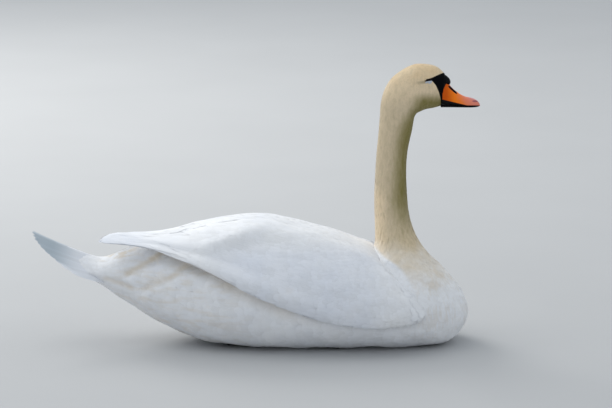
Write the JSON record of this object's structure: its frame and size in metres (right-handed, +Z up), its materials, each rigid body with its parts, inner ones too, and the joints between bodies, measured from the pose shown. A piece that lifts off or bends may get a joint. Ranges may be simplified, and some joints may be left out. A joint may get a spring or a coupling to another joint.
{
  "type": "mute swan",
  "caption": "Life-size adult mute swan resting on its belly, neck upright, wings folded and tail raised, as a still display model.",
  "frame": {"origin": "the middle of the flat under the belly on which the bird rests, at floor level", "axes": "+X forward, the way the bill points; +Y to the bird's left; +Z up"},
  "size_m": [0.911, 0.3232, 0.5733],
  "materials": {
    "cream_plumage": "soft short feathers, stained cream",
    "white_plumage": "soft white feathers",
    "orange_bill": "smooth horn, orange to pink at the tip",
    "black_bill": "smooth black horn and skin",
    "dark_eye": "wet, glossy",
    "grey_leg": "scaly dark grey skin"
  },
  "bodies": {
    "root": {"head": "cream_plumage", "bill_upper": "orange_bill", "bill_lower": "black_bill", "bill_knob": "black_bill", "eye_right": "dark_eye", "eye_left": "dark_eye", "neck_upper": "cream_plumage", "neck_middle": "cream_plumage", "neck_lower": "cream_plumage", "breast": "white_plumage", "trunk": "white_plumage", "rump": "white_plumage", "wing_right": "white_plumage", "primaries_right": "white_plumage", "wing_left": "white_plumage", "primaries_left": "white_plumage", "tail": "white_plumage", "leg_right": "grey_leg", "foot_right": "grey_leg", "leg_left": "grey_leg", "foot_left": "grey_leg"}
  },
  "joints": []
}
